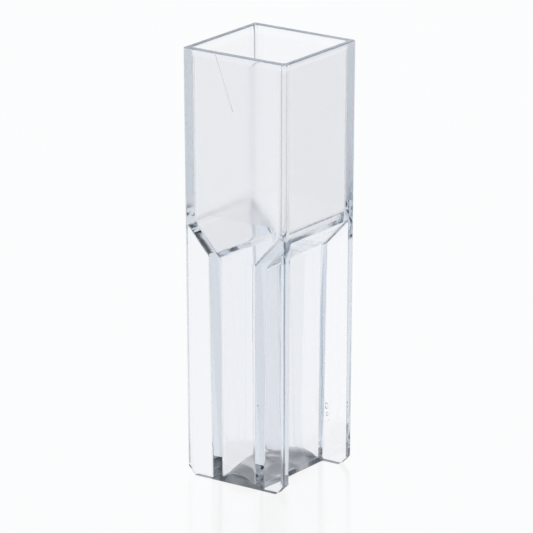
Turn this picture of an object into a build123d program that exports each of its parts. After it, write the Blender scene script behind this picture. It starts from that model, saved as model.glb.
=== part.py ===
from build123d import *
import math
import os

# Disposable semi-micro cuvette, moulded in one piece of clear plastic.
# Z is up and the origin is the centre of the base. The optical windows face -Y and +Y,
# the recessed sides face -X and +X. All sizes are in millimetres.

# Overall block
height = 45.0
top_width = 12.5  # along X, across the recessed sides
top_length = 12.5  # along Y, across the windows
base_width = 12.0
base_length = 12.12
corner_radius = 0.35

# Upper well
side_wall = 0.76  # walls facing X
window_wall = 0.97  # walls facing Y
lead_in_height = 0.8
lead_in_inset = 0.2  # how much the rim is thinner than the wall below it
well_corner_radius = 0.4
rim_edge = 0.08

# Side recesses, which leave a narrow web between two full-width flanges
shoulder_height = 26.4
shoulder_drop = 2.82
web_width = 7.0  # at the foot of the shoulder
web_base_width = 6.14
flange_thickness = 0.96
recess_fillet = 0.28

# Light-path chamber inside the web
shoulder_wall = 0.88
chamber_width = 4.3  # at the foot of the funnel
chamber_base_width = 4.15
path_length = 10.0
window_step = 0.3  # height of the ledge over each window
chamber_corner_radius = 0.25

# Floor: a crowned ridge with a narrow valley beside each chamber wall
valley_height = 0.35
ridge_end_height = 0.95  # at the windows
ridge_mid_height = 1.95
ridge_width = 3.7

# Underside
foot_chamfer = 1.0
gate_recess_diameter = 5.0
gate_recess_depth = 0.9
gate_stub_diameter = 1.2
gate_stub_length = 0.3

overcut = 1.0  # how far a cutter runs past the face it opens


def outer_width(z):
    """Width of the tapered block along X at height z."""
    return base_width + (top_width - base_width) * z / height


def outer_length(z):
    """Length of the tapered block along Y at height z."""
    return base_length + (top_length - base_length) * z / height


def tapered_box(lower, upper, radius):
    """Solid between two rounded rectangles, each given as (width, length, height)."""
    ends = []
    for width, length, z in (lower, upper):
        ends.append(Pos(0, 0, z) * RectangleRounded(width, length, radius))
    return loft(ends)


def outer_block():
    """The tapered outside of the cuvette, with rounded upright corners."""
    lower = (base_width, base_length, 0)
    upper = (top_width, top_length, height)
    return tapered_box(lower, upper, corner_radius)


def side_recess():
    """Cutter for the +X recess: shoulder slope above, web face below."""
    shoulder_foot = shoulder_height - shoulder_drop
    outside = max(top_width, base_width) / 2 + overcut
    shoulder_edge = outer_width(shoulder_height) / 2
    slope = shoulder_drop / (shoulder_edge - web_width / 2)
    web_draft = (web_width - web_base_width) / 2 / shoulder_foot
    outline = Polyline(
        (outside, shoulder_height + slope * (outside - shoulder_edge)),
        (web_width / 2, shoulder_foot),
        (web_base_width / 2 - web_draft * overcut, -overcut),
        (outside, -overcut),
        close=True,
    )
    gap = base_length - 2 * flange_thickness
    cutter = extrude(Plane.XZ * make_face(outline), gap / 2, both=True)
    inner_edges = cutter.edges().filter_by(lambda edge: edge.bounding_box().max.X < outside - overcut / 2)
    return fillet(inner_edges, recess_fillet)


def upper_well():
    """Cavity of the square well from the top of the funnel to the rim, with its lead-in."""
    lead_in_foot = height - lead_in_height
    funnel_top = funnel_points()[0][1]
    lower = (
        outer_width(funnel_top) - 2 * side_wall,
        outer_length(funnel_top) - 2 * window_wall,
        funnel_top,
    )
    middle = (
        outer_width(lead_in_foot) - 2 * side_wall,
        outer_length(lead_in_foot) - 2 * window_wall,
        lead_in_foot,
    )
    upper = (middle[0] + 2 * lead_in_inset, middle[1] + 2 * lead_in_inset, height)
    well = tapered_box(lower, middle, well_corner_radius)
    return well + tapered_box(middle, upper, well_corner_radius)


def funnel_points():
    """Top and foot (x, z) of the funnel slope, parallel to the shoulder outside it."""
    shoulder_edge = outer_width(shoulder_height) / 2
    run = shoulder_edge - web_width / 2
    slope = shoulder_drop / run
    rise = shoulder_wall * math.hypot(run, shoulder_drop) / run
    top_x = shoulder_edge - side_wall
    foot_x = chamber_width / 2
    top_z = shoulder_height + rise - slope * side_wall
    foot_z = top_z - slope * (top_x - foot_x)
    return (top_x, top_z), (foot_x, foot_z)


def funnel_and_chamber():
    """Cavity of the sloping funnel and the narrow chamber below it, down to the valleys."""
    (_, top_z), (foot_x, foot_z) = funnel_points()
    top_length_inside = outer_length(top_z) - 2 * window_wall
    top_x = outer_width(top_z) / 2 - side_wall
    ledge_z = foot_z + window_step
    ledge_x = foot_x + (top_x - foot_x) * window_step / (top_z - foot_z)
    funnel = tapered_box(
        (2 * ledge_x, top_length_inside, ledge_z),
        (2 * top_x, top_length_inside, top_z),
        well_corner_radius,
    )
    ledge = tapered_box(
        (2 * foot_x, path_length, foot_z),
        (2 * ledge_x, top_length_inside, ledge_z),
        chamber_corner_radius,
    )
    chamber = tapered_box(
        (chamber_base_width, path_length, valley_height),
        (chamber_width, path_length, foot_z),
        chamber_corner_radius,
    )
    return funnel + ledge + chamber


def floor_ridge():
    """Crowned ridge on the chamber floor: an arc across it, turned about an axis along X."""
    crown = ridge_end_height - valley_height
    crown_radius = (ridge_width / 2) ** 2 / (2 * crown) + crown / 2
    sag = ridge_mid_height - ridge_end_height
    turn_radius = (path_length / 2) ** 2 / (2 * sag) + sag / 2
    axis_z = ridge_mid_height - turn_radius
    half_angle = math.degrees(math.asin((path_length / 2 + overcut) / turn_radius))
    turn_axis = Axis((0, 0, axis_z), (1, 0, 0))
    crest = Pos(0, ridge_mid_height - crown_radius) * Circle(crown_radius)
    upper_half = Pos(0, ridge_mid_height) * Rectangle(2 * crown_radius, 2 * crown_radius)
    section = Plane.XZ * (crest & upper_half)
    return revolve(section.rotate(turn_axis, -half_angle), turn_axis, 2 * half_angle)


def foot_chamfers():
    """Cutters for the sloped corners at the feet of both flanges."""
    half_width = base_width / 2
    corner = Polyline(
        (half_width - foot_chamfer - overcut, -overcut),
        (half_width + overcut, -overcut),
        (half_width + overcut, foot_chamfer + overcut),
        close=True,
    )
    cutter = extrude(Plane.XZ * make_face(corner), base_length / 2 + overcut, both=True)
    return cutter + mirror(cutter, about=Plane.YZ)


def gate_recess():
    """Shallow round dish under the floor, with the stub of the moulding gate left in it."""
    dish_radius = (gate_recess_diameter / 2) ** 2 / (2 * gate_recess_depth) + gate_recess_depth / 2
    dish = Pos(0, 0, gate_recess_depth - dish_radius) * Sphere(dish_radius)
    stub_foot = gate_recess_depth - gate_stub_length
    stub = Pos(0, 0, stub_foot + height / 2) * Cylinder(gate_stub_diameter / 2, height)
    return dish - stub


def cuvette_body():
    """The whole cuvette as one solid."""
    recess = side_recess()
    cavity = upper_well() + (funnel_and_chamber() - floor_ridge())
    body = outer_block() - cavity
    body -= recess + mirror(recess, about=Plane.YZ)
    body -= foot_chamfers()
    body -= gate_recess()
    rim_edges = body.edges().filter_by(lambda edge: edge.bounding_box().min.Z > height - rim_edge / 2)
    return fillet(rim_edges, rim_edge)


if __name__ == "__main__":
    os.makedirs("parts", exist_ok=True)
    export_step(cuvette_body(), "parts/cuvette_body.step")
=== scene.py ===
import bmesh
import bpy
import math
from mathutils import Matrix, Vector


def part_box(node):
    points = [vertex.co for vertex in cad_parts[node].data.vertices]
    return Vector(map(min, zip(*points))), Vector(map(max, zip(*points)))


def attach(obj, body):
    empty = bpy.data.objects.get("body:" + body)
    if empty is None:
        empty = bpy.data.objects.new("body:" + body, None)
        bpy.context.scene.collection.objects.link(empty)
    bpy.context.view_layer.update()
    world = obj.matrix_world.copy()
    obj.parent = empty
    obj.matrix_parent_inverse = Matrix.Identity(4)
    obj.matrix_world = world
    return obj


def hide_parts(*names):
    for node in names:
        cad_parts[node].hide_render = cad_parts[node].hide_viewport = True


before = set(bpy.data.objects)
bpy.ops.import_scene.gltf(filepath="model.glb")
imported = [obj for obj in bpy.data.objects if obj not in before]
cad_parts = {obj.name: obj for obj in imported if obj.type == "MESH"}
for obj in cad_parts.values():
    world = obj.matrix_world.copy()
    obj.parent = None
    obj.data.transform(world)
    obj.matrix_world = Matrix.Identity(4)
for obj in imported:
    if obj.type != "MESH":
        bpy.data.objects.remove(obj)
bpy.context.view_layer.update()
low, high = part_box("cuvette_body")
mm = 0.001

block = {
    "height": high[2] - low[2],
    "topWidth": 12.5 * mm, "topLength": 12.5 * mm,
    "baseWidth": 12.0 * mm, "baseLength": 12.12 * mm,
    "cornerRadius": 0.35 * mm,
}
web = {
    "shoulderTop": 26.4 * mm, "shoulderFoot": 23.58 * mm,
    "width": 7.0 * mm, "baseWidth": 6.14 * mm,
    "flange": 0.96 * mm, "footChamfer": 1.0 * mm,
    "fillet": 0.28 * mm, "edge": 0.12 * mm,
}
well = {
    "sideWall": 0.76 * mm, "windowWall": 0.97 * mm,
    "leadIn": 0.8 * mm, "leadInset": 0.2 * mm,
    "funnelTop": 26.88 * mm, "cornerRadius": 0.4 * mm,
    "rimEdge": 0.08 * mm,
}
chamber = {
    "width": 4.3 * mm, "baseWidth": 4.15 * mm, "path": 10.0 * mm,
    "top": 23.43 * mm, "ledge": 0.3 * mm,
    "valley": 0.35 * mm, "ridgeEnd": 0.95 * mm, "ridgeMid": 1.95 * mm, "ridgeWidth": 3.7 * mm,
    "across": 24, "along": 40, "bend": 4, "corner": 0.22 * mm,
}
optics = {"width": 4.81 * mm, "foot": 3.0 * mm, "top": 23.77 * mm, "depth": 0.07 * mm}
gate = {"dish": 5.0 * mm, "depth": 0.9 * mm, "stub": 1.2 * mm, "stubLength": 0.3 * mm}


def linkObject(name, bm):
    mesh = bpy.data.meshes.new(name)
    bm.to_mesh(mesh)
    bm.free()
    obj = bpy.data.objects.new(name, mesh)
    bpy.context.scene.collection.objects.link(obj)
    return obj


def blockWidth(z):
    return block["baseWidth"] + (block["topWidth"] - block["baseWidth"]) * z / block["height"]


def blockLength(z):
    return block["baseLength"] + (block["topLength"] - block["baseLength"]) * z / block["height"]


def taperedBlock():
    # a cube pulled to the tapered outside, its upright edges rounded
    bm = bmesh.new()
    bmesh.ops.create_cube(bm, size=1)
    for v in bm.verts:
        z = block["height"] if v.co.z > 0 else 0
        v.co = (v.co.x * blockWidth(z), v.co.y * blockLength(z), z)
    upright = [e for e in bm.edges if abs(e.verts[0].co.z - e.verts[1].co.z) > mm]
    bmesh.ops.bevel(bm, geom=upright, offset=block["cornerRadius"], offset_type="OFFSET",
                    affect="EDGES", segments=8, profile=0.5, material=-1)
    return linkObject("cuvetteBody", bm)


def recessCutter(side):
    # the side recess: web face, sloping shoulder, open to the outside
    bm = bmesh.new()
    out = 8 * mm
    slope = (web["shoulderTop"] - web["shoulderFoot"]) / (blockWidth(web["shoulderTop"]) / 2 - web["width"] / 2)
    draft = (web["width"] - web["baseWidth"]) / 2 / web["shoulderFoot"]
    profile = [(web["baseWidth"] / 2 - draft * mm, -mm), (web["width"] / 2, web["shoulderFoot"]),
               (out, web["shoulderFoot"] + slope * (out - web["width"] / 2)), (out, -mm)]
    gap = block["baseLength"] / 2 - web["flange"]
    verts = [bm.verts.new((side * x, -gap, z)) for x, z in profile]
    face = bm.faces.new(verts)
    moved = bmesh.ops.extrude_face_region(bm, geom=[face])["geom"]
    bmesh.ops.translate(bm, verts=[v for v in moved if isinstance(v, bmesh.types.BMVert)], vec=(0, 2 * gap, 0))
    inner = [e for e in bm.edges if max(abs(v.co.x) for v in e.verts) < out - mm / 10
             or (len({round(v.co.y, 7) for v in e.verts}) == 1 and min(abs(v.co.x) for v in e.verts) < out - mm
                 and max(v.co.z for v in e.verts) > web["shoulderFoot"])]
    inner = [e for e in inner if max(v.co.z for v in e.verts) > 0]
    bmesh.ops.bevel(bm, geom=inner, offset=web["fillet"], offset_type="OFFSET",
                    affect="EDGES", segments=6, profile=0.5, material=-1)
    bmesh.ops.recalc_face_normals(bm, faces=bm.faces)
    return linkObject("recessCutter", bm)


def footCutter(side):
    # wedge that takes the sloping corner off the feet
    bm = bmesh.new()
    half = block["baseWidth"] / 2
    c = web["footChamfer"]
    profile = [(half - c - mm, -mm), (half + mm, -mm), (half + mm, c + mm)]
    verts = [bm.verts.new((side * x, -8 * mm, z)) for x, z in profile]
    face = bm.faces.new(verts)
    moved = bmesh.ops.extrude_face_region(bm, geom=[face])["geom"]
    bmesh.ops.translate(bm, verts=[v for v in moved if isinstance(v, bmesh.types.BMVert)], vec=(0, 16 * mm, 0))
    bmesh.ops.recalc_face_normals(bm, faces=bm.faces)
    return linkObject("footCutter", bm)


def floorHeight(x, y):
    # crowned ridge between two narrow valleys
    sag = chamber["ridgeMid"] - chamber["ridgeEnd"]
    crest = chamber["ridgeMid"] - sag * (2 * y / chamber["path"]) ** 2
    half = chamber["ridgeWidth"] / 2
    share = min(1, abs(x) / half)
    crown = crest - (chamber["ridgeEnd"] - chamber["valley"]) * share ** 2
    edge = max(0, abs(x) - 0.72 * half) / (chamber["baseWidth"] / 2 - 0.72 * half)
    drop = edge * edge * (3 - 2 * edge)
    return crown + (chamber["valley"] - crown) * drop


def linePoint(i, count, half, radius):
    # one grid line's place: even along the flat, and evenly round the corner
    bend = chamber["bend"]
    flat = half - radius
    if i < bend:
        return -flat - radius * math.tan(math.pi / 4 * (bend - i) / bend)
    if i > count - bend:
        return flat + radius * math.tan(math.pi / 4 * (i - count + bend) / bend)
    return flat * (2 * (i - bend) / (count - 2 * bend) - 1)


def ringPoint(i, j, halfX, halfY, radius):
    # a grid point pulled in so that the plan's corners come out round
    x = linePoint(i, chamber["across"], halfX, radius)
    y = linePoint(j, chamber["along"], halfY, radius)
    dx, dy = abs(x) - (halfX - radius), abs(y) - (halfY - radius)
    if dx > 0 and dy > 0:
        pull = max(dx, dy) / math.hypot(dx, dy)
        x = math.copysign(halfX - radius + dx * pull, x)
        y = math.copysign(halfY - radius + dy * pull, y)
    return x, y


def cavityCutter():
    # the whole inside: ridge on the floor, chamber, funnel, well and lead-in
    bm = bmesh.new()
    nx, ny = chamber["across"], chamber["along"]
    bmesh.ops.create_grid(bm, x_segments=nx, y_segments=ny, size=1)
    place = {}
    for v in bm.verts:
        place[v] = (round((v.co.x + 1) / 2 * nx), round((v.co.y + 1) / 2 * ny))
    halfX, halfY = chamber["baseWidth"] / 2, chamber["path"] / 2
    for v, (i, j) in place.items():
        x, y = ringPoint(i, j, halfX, halfY, chamber["corner"])
        v.co = (x, y, floorHeight(x, y))
    funnelTop = well["funnelTop"]
    funnelX = blockWidth(funnelTop) / 2 - well["sideWall"]
    funnelY = blockLength(funnelTop) / 2 - well["windowWall"]
    slope = (funnelTop - chamber["top"]) / (funnelX - chamber["width"] / 2)
    leadFoot = block["height"] - well["leadIn"]
    leadX = blockWidth(leadFoot) / 2 - well["sideWall"]
    leadY = blockLength(leadFoot) / 2 - well["windowWall"]
    inset = well["leadInset"]
    rise = inset / well["leadIn"]
    ledgeZ = chamber["top"] + chamber["ledge"]
    rings = [(chamber["width"] / 2, halfY, chamber["top"], chamber["corner"]),
             (chamber["width"] / 2 + chamber["ledge"] / slope, funnelY, ledgeZ, 0.3 * mm)]
    soft = 0.9 * mm  # the funnel runs softly into the well
    for k in range(9):
        t = k / 8
        x = (1 - t) ** 2 * (funnelX - soft) + 2 * t * (1 - t) * funnelX + t * t * funnelX
        z = (1 - t) ** 2 * (funnelTop - soft * slope) + 2 * t * (1 - t) * funnelTop + t * t * (funnelTop + soft * slope)
        rings.append((x, funnelY, z, well["cornerRadius"]))
    rings += [(leadX, leadY, leadFoot, well["cornerRadius"]),
              (leadX + inset, leadY + inset, block["height"], well["cornerRadius"]),
              (leadX + inset + rise * mm, leadY + inset + rise * mm, block["height"] + mm, well["cornerRadius"])]
    border = [e for e in bm.edges if e.is_boundary]
    for halfX, halfY, z, radius in rings:
        made = bmesh.ops.extrude_edge_only(bm, edges=border)["geom"]
        newVerts = {g for g in made if isinstance(g, bmesh.types.BMVert)}
        for v in newVerts:
            below = next(e.other_vert(v) for e in v.link_edges if e.other_vert(v) not in newVerts)
            place[v] = place[below]
            x, y = ringPoint(*place[v], halfX, halfY, radius)
            v.co = (x, y, z)
        border = [g for g in made if isinstance(g, bmesh.types.BMEdge) and g.is_boundary]
    bmesh.ops.contextual_create(bm, geom=border)
    bmesh.ops.recalc_face_normals(bm, faces=bm.faces)
    return linkObject("cavityCutter", bm)


def dishCutter():
    # shallow dish under the floor with the gate stub left standing in it
    bm = bmesh.new()
    radius = (gate["dish"] / 2) ** 2 / (2 * gate["depth"]) + gate["depth"] / 2
    centre = gate["depth"] - radius
    foot = gate["depth"] - gate["stubLength"]
    verts = [bm.verts.new((0, 0, foot)), bm.verts.new((gate["stub"] / 2, 0, foot))]
    limit = math.asin(gate["dish"] / 2 / radius) * 1.15
    begin = math.asin(gate["stub"] / 2 / radius)
    for k in range(13):
        a = begin + (limit - begin) * k / 12
        verts.append(bm.verts.new((radius * math.sin(a), 0, centre + radius * math.cos(a))))
    verts.append(bm.verts.new((0, 0, verts[-1].co.z)))
    edges = [bm.edges.new((verts[i], verts[i + 1])) for i in range(len(verts) - 1)]
    bmesh.ops.spin(bm, geom=verts + edges, cent=(0, 0, 0), axis=(0, 0, 1), angle=2 * math.pi, steps=48, use_merge=True)
    bmesh.ops.remove_doubles(bm, verts=bm.verts, dist=1e-7)
    bmesh.ops.recalc_face_normals(bm, faces=bm.faces)
    return linkObject("dishCutter", bm)


def carve(body, cutters):
    for cutter in cutters:
        cut = body.modifiers.new(cutter.name, "BOOLEAN")
        cut.operation = "DIFFERENCE"
        cut.solver = "EXACT"
        cut.object = cutter
    bpy.context.view_layer.update()
    graph = bpy.context.evaluated_depsgraph_get()
    mesh = bpy.data.meshes.new_from_object(body.evaluated_get(graph))
    body.modifiers.clear()
    body.data = mesh
    mesh.name = "cuvetteBody"
    for cutter in cutters:
        bpy.data.objects.remove(cutter)


def softenEdges(body):
    # rounds the moulded edges, each by its own share of the bevel's width
    bm = bmesh.new()
    bm.from_mesh(body.data)
    bmesh.ops.remove_doubles(bm, verts=bm.verts, dist=2e-7)
    bmesh.ops.dissolve_limit(bm, angle_limit=math.radians(0.15), verts=bm.verts, edges=bm.edges)
    weight = bm.edges.layers.float.new("bevel_weight_edge")
    top = block["height"]
    n = 0
    for e in bm.edges:
        if len(e.link_faces) != 2:
            continue
        angle = e.calc_face_angle(0)
        if angle < math.radians(28):
            continue
        mid = (e.verts[0].co + e.verts[1].co) / 2
        if mid.z > top - 0.05 * mm:
            e[weight] = 0.6
        elif mid.z < 0.05 * mm:
            e[weight] = 0.3
        elif abs(mid.x) > 5.75 * mm:
            e[weight] = 0.7
        else:
            continue
        n += 1
    bm.to_mesh(body.data)
    bm.free()
    bevel = body.modifiers.new("softEdges", "BEVEL")
    bevel.limit_method = "WEIGHT"
    bevel.width = web["edge"]
    bevel.segments = 3
    bevel.profile = 0.5
    bevel.use_clamp_overlap = False
    print("edges softened:", n)



flaws = {
    "scratchTop": (-2.17, 44.85), "scratchEnd": (-0.08, 39.32), "scratchWidth": 0.06 * mm, "scratchDepth": 0.03 * mm,
    "bubbles": [(5.66, -5.80, 27.22, 0.19), (5.84, -5.72, 27.40, 0.08),
                (3.42, 5.42, 6.0, 0.24), (3.48, 5.55, 5.1, 0.16), (3.60, 5.62, 4.5, 0.07)],
}


def windowCutter(side):
    # each optical window lies a hair below the face round it, running out to nothing at its foot
    bm = bmesh.new()
    bmesh.ops.create_cube(bm, size=1)
    for v in bm.verts:
        z, depth = (optics["top"], optics["depth"]) if v.co.z > 0 else (optics["foot"], -0.005 * mm)
        face = blockLength(z) / 2
        y = face - depth if v.co.y < 0 else face + mm
        v.co = (math.copysign(optics["width"] / 2, v.co.x), y, z)
        v.co.y *= side
    bmesh.ops.recalc_face_normals(bm, faces=bm.faces)
    return linkObject("windowCutter", bm)


def scratchCutter():
    # hairline groove in the window face, a long thin wedge
    (x0, z0), (x1, z1) = flaws["scratchTop"], flaws["scratchEnd"]
    a, b = Vector((x0 * mm, 0, z0 * mm)), Vector((x1 * mm, 0, z1 * mm))
    along = (b - a).normalized()
    side = Vector((along.z, 0, -along.x)) * flaws["scratchWidth"] / 2
    bm = bmesh.new()
    ends = []
    for p in (a, b):
        surface = -blockLength(p.z) / 2
        ring = [bm.verts.new((p.x - 2 * side.x, surface - flaws["scratchDepth"], p.z - 2 * side.z)),
                bm.verts.new((p.x + 2 * side.x, surface - flaws["scratchDepth"], p.z + 2 * side.z)),
                bm.verts.new((p.x, surface + flaws["scratchDepth"], p.z))]
        ends.append(ring)
        bm.faces.new(ring)
    loops = [e for e in bm.edges]
    bmesh.ops.bridge_loops(bm, edges=loops)
    bmesh.ops.recalc_face_normals(bm, faces=bm.faces)
    return linkObject("scratchCutter", bm)


def bubbleCutter():
    bm = bmesh.new()
    for x, y, z, r in flaws["bubbles"]:
        place = Matrix.Translation((x * mm, y * mm, z * mm)) @ Matrix.Diagonal((1, 0.3, 1.5, 1))
        bmesh.ops.create_icosphere(bm, subdivisions=2, radius=r * mm, matrix=place)
    return linkObject("bubbleCutter", bm)


def markFrost(body):
    # the core's shaped faces and the underside are matt, the window faces are polished
    values = []
    for p in body.data.polygons:
        c, n = p.center, p.normal
        shaped = abs(n.z) > 0.12 and c.z < 30 * mm
        inCore = abs(c.x) < 5.45 * mm and abs(c.y) < 5.35 * mm
        value = 0.0
        if shaped and c.z > 20 * mm and inCore and n.z > 0:
            value = 0.32
        elif c.z > 26.8 * mm and inCore and n.x * c.x + n.y * c.y < 0 and abs(n.z) < 0.12:
            value = 1.0 if min(abs(n.x), abs(n.y)) > 0.15 else 0.55
        elif shaped and c.z < 3 * mm and abs(c.x) < 3.05 * mm:
            value = 1.0
        elif abs(n.x) > 0.9 and abs(abs(c.x) - 3.3 * mm) < 0.4 * mm and c.z < web["shoulderFoot"]:
            value = 0.0
        values.append(value)
    frost = body.data.attributes.new("frost", "FLOAT", "FACE")
    frost.data.foreach_set("value", values)
    print("frosted faces:", sum(1 for v in values if v > 0))


plastic = {"tint": (0.986, 0.990, 1.0, 1), "ior": 1.58, "polish": 0.0, "matt": 0.34,
           "absorb": (0.70, 0.76, 0.84, 1), "density": 58.0,
           "wave": 300.0, "waveHeight": 0.00002}


def clearPlastic():
    mat = bpy.data.materials.new("clearPlastic")
    mat.use_nodes = True
    tree = mat.node_tree
    nodes, links = tree.nodes, tree.links
    shader = nodes["Principled BSDF"]
    shader.inputs["Base Color"].default_value = plastic["tint"]
    shader.inputs["IOR"].default_value = plastic["ior"]
    shader.inputs["Transmission Weight"].default_value = 1.0
    frost = nodes.new("ShaderNodeAttribute")
    frost.attribute_name = "frost"
    place = nodes.new("ShaderNodeTexCoord")
    rough = nodes.new("ShaderNodeMapRange")
    rough.inputs["To Min"].default_value = plastic["polish"]
    rough.inputs["To Max"].default_value = plastic["matt"]
    links.new(frost.outputs["Fac"], rough.inputs["Value"])
    links.new(rough.outputs["Result"], shader.inputs["Roughness"])
    wave = nodes.new("ShaderNodeTexNoise")
    wave.inputs["Scale"].default_value = plastic["wave"]
    wave.inputs["Detail"].default_value = 1
    links.new(place.outputs["Object"], wave.inputs["Vector"])
    broad = nodes.new("ShaderNodeBump")
    broad.inputs["Distance"].default_value = plastic["waveHeight"]
    broad.inputs["Strength"].default_value = 0.5
    links.new(wave.outputs["Fac"], broad.inputs["Height"])
    links.new(broad.outputs["Normal"], shader.inputs["Normal"])
    absorb = nodes.new("ShaderNodeVolumeAbsorption")
    absorb.inputs["Color"].default_value = plastic["absorb"]
    absorb.inputs["Density"].default_value = plastic["density"]
    links.new(absorb.outputs["Volume"], nodes["Material Output"].inputs["Volume"])
    return mat


studio = {
    "floorSize": 4.0, "floorColour": 0.92, "glow": 0.95, "glowLevel": 1.05, "sheen": 0.12, "sheenRough": 0.12,
    "cool": (0.88, 0.94, 1.0, 1),
    "fades": [((0, 0, 1), 0.30, 0.58, 0.20), ((0.58, -0.81, 0), -0.5, 0.5, 0.92),
              ((0.50, 0.74, 0.45), 0.70, 0.92, 0.0), ((-1, 0, 0), 0.55, 0.95, 0.80)],
}


def makeFloor():
    bm = bmesh.new()
    bmesh.ops.create_grid(bm, x_segments=1, y_segments=1, size=studio["floorSize"] / 2)
    bmesh.ops.translate(bm, verts=bm.verts, vec=(0, 0, -0.00002))
    floor = linkObject("floor", bm)
    mat = bpy.data.materials.new("floorWhite")
    mat.use_nodes = True
    nodes, links = mat.node_tree.nodes, mat.node_tree.links
    nodes.clear()
    out = nodes.new("ShaderNodeOutputMaterial")
    matt = nodes.new("ShaderNodeBsdfDiffuse")
    grey = studio["floorColour"]
    matt.inputs["Color"].default_value = (grey, grey, grey, 1)
    glow = nodes.new("ShaderNodeEmission")
    glow.inputs["Strength"].default_value = studio["glowLevel"]
    seen = nodes.new("ShaderNodeLightPath")
    through = nodes.new("ShaderNodeMath")
    through.operation = "MAXIMUM"
    links.new(seen.outputs["Is Camera Ray"], through.inputs[0])
    links.new(seen.outputs["Is Transmission Ray"], through.inputs[1])
    share = nodes.new("ShaderNodeMath")
    share.operation = "MULTIPLY"
    share.inputs[1].default_value = studio["glow"]
    links.new(through.outputs[0], share.inputs[0])
    plain = nodes.new("ShaderNodeMixShader")
    links.new(share.outputs[0], plain.inputs[0])
    links.new(matt.outputs[0], plain.inputs[1])
    links.new(glow.outputs[0], plain.inputs[2])
    gloss = nodes.new("ShaderNodeBsdfGlossy")
    gloss.inputs["Roughness"].default_value = studio["sheenRough"]
    coat = nodes.new("ShaderNodeMixShader")
    coat.inputs[0].default_value = studio["sheen"]
    links.new(plain.outputs[0], coat.inputs[1])
    links.new(gloss.outputs[0], coat.inputs[2])
    links.new(coat.outputs[0], out.inputs["Surface"])
    floor.data.materials.append(mat)


def makeWorld():
    # white for the camera; round the object a cool surround, darker overhead
    world = bpy.data.worlds.new("studio")
    bpy.context.scene.world = world
    world.use_nodes = True
    nodes, links = world.node_tree.nodes, world.node_tree.links
    back = nodes["Background"]
    back.inputs["Color"].default_value = studio["cool"]
    place = nodes.new("ShaderNodeTexCoord")
    level = None
    for direction, start, end, dim in studio["fades"]:
        toward = nodes.new("ShaderNodeVectorMath")
        toward.operation = "DOT_PRODUCT"
        toward.inputs[1].default_value = Vector(direction).normalized()
        links.new(place.outputs["Generated"], toward.inputs[0])
        fade = nodes.new("ShaderNodeMapRange")
        fade.interpolation_type = "SMOOTHSTEP"
        fade.inputs["From Min"].default_value = start
        fade.inputs["From Max"].default_value = end
        fade.inputs["To Min"].default_value = 1.0
        fade.inputs["To Max"].default_value = dim
        links.new(toward.outputs["Value"], fade.inputs["Value"])
        if level is None:
            level = fade.outputs["Result"]
            continue
        both = nodes.new("ShaderNodeMath")
        both.operation = "MULTIPLY"
        links.new(level, both.inputs[0])
        links.new(fade.outputs["Result"], both.inputs[1])
        level = both.outputs[0]
    links.new(level, back.inputs["Strength"])
    white = nodes.new("ShaderNodeBackground")
    white.inputs["Color"].default_value = (1, 1, 1, 1)
    seen = nodes.new("ShaderNodeLightPath")
    pick = nodes.new("ShaderNodeMixShader")
    links.new(seen.outputs["Is Camera Ray"], pick.inputs[0])
    links.new(back.outputs[0], pick.inputs[1])
    links.new(white.outputs[0], pick.inputs[2])
    links.new(pick.outputs[0], nodes["World Output"].inputs["Surface"])


view = {"azimuth": 35.386, "elevation": 17.129, "distance": 0.50112, "right": 0.000316, "up": 0.000777, "lens": 334.1}


def makeCamera():
    a, e = math.radians(view["azimuth"]), math.radians(view["elevation"])
    back = Vector((math.sin(a) * math.cos(e), -math.cos(a) * math.cos(e), math.sin(e)))
    right = Vector((math.cos(a), math.sin(a), 0))
    up = back.cross(right)
    data = bpy.data.cameras.new("camera")
    data.lens = view["lens"]
    data.clip_start = 0.01
    camera = bpy.data.objects.new("camera", data)
    bpy.context.scene.collection.objects.link(camera)
    turn = Matrix((right, up, back)).transposed().to_4x4()
    centre = Vector((0, 0, block["height"] / 2))
    turn.translation = centre - view["right"] * right - view["up"] * up + view["distance"] * back
    camera.matrix_world = turn
    bpy.context.scene.camera = camera


body = taperedBlock()
carve(body, [recessCutter(1), recessCutter(-1), footCutter(1), footCutter(-1), cavityCutter(), dishCutter(),
             windowCutter(1), windowCutter(-1), scratchCutter(), bubbleCutter()])
softenEdges(body)
markFrost(body)
for p in body.data.polygons:
    p.use_smooth = not (abs(p.center.y) > 5.8 * mm and abs(p.normal.y) < 0.98 and abs(p.center.x) < 4 * mm
                        and p.center.z < 44.8 * mm)
even = body.modifiers.new("evenNormals", "WEIGHTED_NORMAL")
even.keep_sharp = True
even.weight = 100
body.data.materials.clear()
body.data.materials.append(clearPlastic())
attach(body, "root")
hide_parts("cuvette_body")
print("body faces:", len(body.data.polygons))

makeFloor()
makeWorld()
makeCamera()
scene = bpy.context.scene
scene.cycles.max_bounces = 40
scene.cycles.glossy_bounces = 32
scene.cycles.transmission_bounces = 40
scene.view_settings.view_transform = "Standard"
